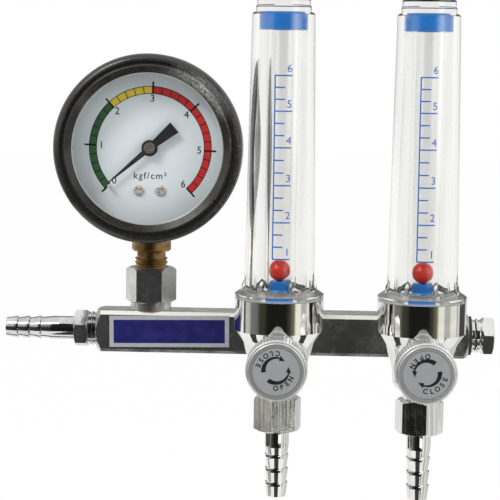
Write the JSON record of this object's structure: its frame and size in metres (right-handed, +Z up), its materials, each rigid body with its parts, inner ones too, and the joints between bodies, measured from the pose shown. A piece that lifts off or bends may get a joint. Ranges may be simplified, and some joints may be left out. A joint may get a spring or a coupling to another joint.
{
  "type": "twin flowmeter manifold",
  "caption": "Chromed square gas manifold with a hose barb inlet, a round pressure gauge on top and ball flowmeters with knobs and hose barb outlets on its front.",
  "frame": {"origin": "middle of the bar's back face, where a bracket would hold it", "axes": "+X along the bar from the inlet to the plug, -Y towards the user, +Z up along the flow tubes"},
  "size_m": [0.1781, 0.0652, 0.1748],
  "materials": {
    "chrome": "polished plate over brass",
    "aged_brass": "tarnished",
    "brass": "satin",
    "bronze": "satin",
    "bright_steel": "bright",
    "black_enamel": "gloss",
    "black_pointer": "matte",
    "dial_face": "matte print",
    "label": "satin",
    "grey_disc": "matte",
    "clear_plastic": "clear",
    "blue_plastic": "gloss",
    "red_plastic": "gloss",
    "black_rubber": "matte"
  },
  "bodies": {
    "manifold": {"manifold_bar": "chrome", "label_plate": "label", "inlet_barb": "chrome", "end_plug": "chrome", "plug_ring": "black_rubber", "gauge_adapter": "chrome", "gauge_stem": "aged_brass", "gauge_case": "black_enamel", "gauge_bezel": "black_enamel", "gauge_window": "clear_plastic", "window_seal": "black_rubber", "gauge_dial": "dial_face", "dial_screws": "bright_steel", "pointer_stop": "bright_steel", "bourdon_tube": "aged_brass", "tube_tip": "aged_brass", "movement_rear_plate": "brass", "movement_front_plate": "brass", "movement_pillars": "brass", "hairspring": "bronze", "left_flow_body": "chrome", "left_inlet_nipple": "brass", "left_ball_seat": "blue_plastic", "left_metering_tube": "clear_plastic", "left_tube_cover": "clear_plastic", "left_cover_gasket": "black_rubber", "left_top_ring": "blue_plastic", "left_top_cap": "clear_plastic", "left_valve_bonnet": "chrome", "left_outlet_nut": "chrome", "left_outlet_barb": "chrome", "right_flow_body": "chrome", "right_inlet_nipple": "brass", "right_ball_seat": "blue_plastic", "right_metering_tube": "clear_plastic", "right_tube_cover": "clear_plastic", "right_cover_gasket": "black_rubber", "right_top_ring": "blue_plastic", "right_top_cap": "clear_plastic", "right_valve_bonnet": "chrome", "right_outlet_nut": "chrome", "right_outlet_barb": "chrome"},
    "pointer": {"gauge_pointer": "black_pointer", "pointer_bush": "aged_brass", "pinion_arbor": "brass"},
    "sector": {"sector_gear": "brass"},
    "link": {"movement_link": "brass"},
    "left_seal": {"left_spindle_seal": "black_rubber"},
    "left_knob": {"left_knob": "chrome", "left_knob_disc": "grey_disc", "left_valve_spindle": "brass"},
    "left_float": {"left_float_ball": "red_plastic"},
    "right_seal": {"right_spindle_seal": "black_rubber"},
    "right_knob": {"right_knob": "chrome", "right_knob_disc": "grey_disc", "right_valve_spindle": "brass"},
    "right_float": {"right_float_ball": "red_plastic"}
  },
  "joints": [
    {"name": "pointer_turn", "type": "hinge", "parent": "manifold", "child": "pointer", "pos_m": [-0.0483, -0.0075, 0.0669], "axis": [0, 1, 0], "range_deg": [0, 270], "stiffness_Nm_per_rad": 0.0005},
    {"name": "sector_turn", "type": "hinge", "parent": "manifold", "child": "sector", "pos_m": [-0.03911, -0.0075, 0.05919], "axis": [0, 1, 0], "range_deg": [-38.6, 0]},
    {"name": "link_turn", "type": "hinge", "parent": "sector", "child": "link", "pos_m": [-0.03706, -0.0075, 0.05575], "axis": [0, 1, 0], "range_deg": [0, 38.6]},
    {"name": "left_seal_slide", "type": "slide", "parent": "manifold", "child": "left_seal", "axis": [0, -1, 0], "range_m": [0, 0.00225]},
    {"name": "left_knob_turn", "type": "hinge", "parent": "left_seal", "child": "left_knob", "pos_m": [-0.0009, -0.0643, -0.0048], "axis": [0, -1, 0], "range_deg": [0, 1080]},
    {"name": "left_float_rise", "type": "slide", "parent": "manifold", "child": "left_float", "axis": [0, 0, 1], "range_m": [0, 0.0825]},
    {"name": "right_seal_slide", "type": "slide", "parent": "manifold", "child": "right_seal", "axis": [0, -1, 0], "range_m": [0, 0.00225]},
    {"name": "right_knob_turn", "type": "hinge", "parent": "right_seal", "child": "right_knob", "pos_m": [0.0491, -0.0643, -0.0048], "axis": [0, -1, 0], "range_deg": [0, 1080]},
    {"name": "right_float_rise", "type": "slide", "parent": "manifold", "child": "right_float", "axis": [0, 0, 1], "range_m": [0, 0.0825]}
  ],
  "couplings": [
    {"joint": "sector_turn", "follows": "pointer_turn", "ratio": -0.14286},
    {"joint": "link_turn", "follows": "pointer_turn", "ratio": 0.14286},
    {"joint": "left_knob_turn", "follows": "left_seal_slide", "rad_per_m": 8377.6},
    {"joint": "right_knob_turn", "follows": "right_seal_slide", "rad_per_m": 8377.6}
  ]
}
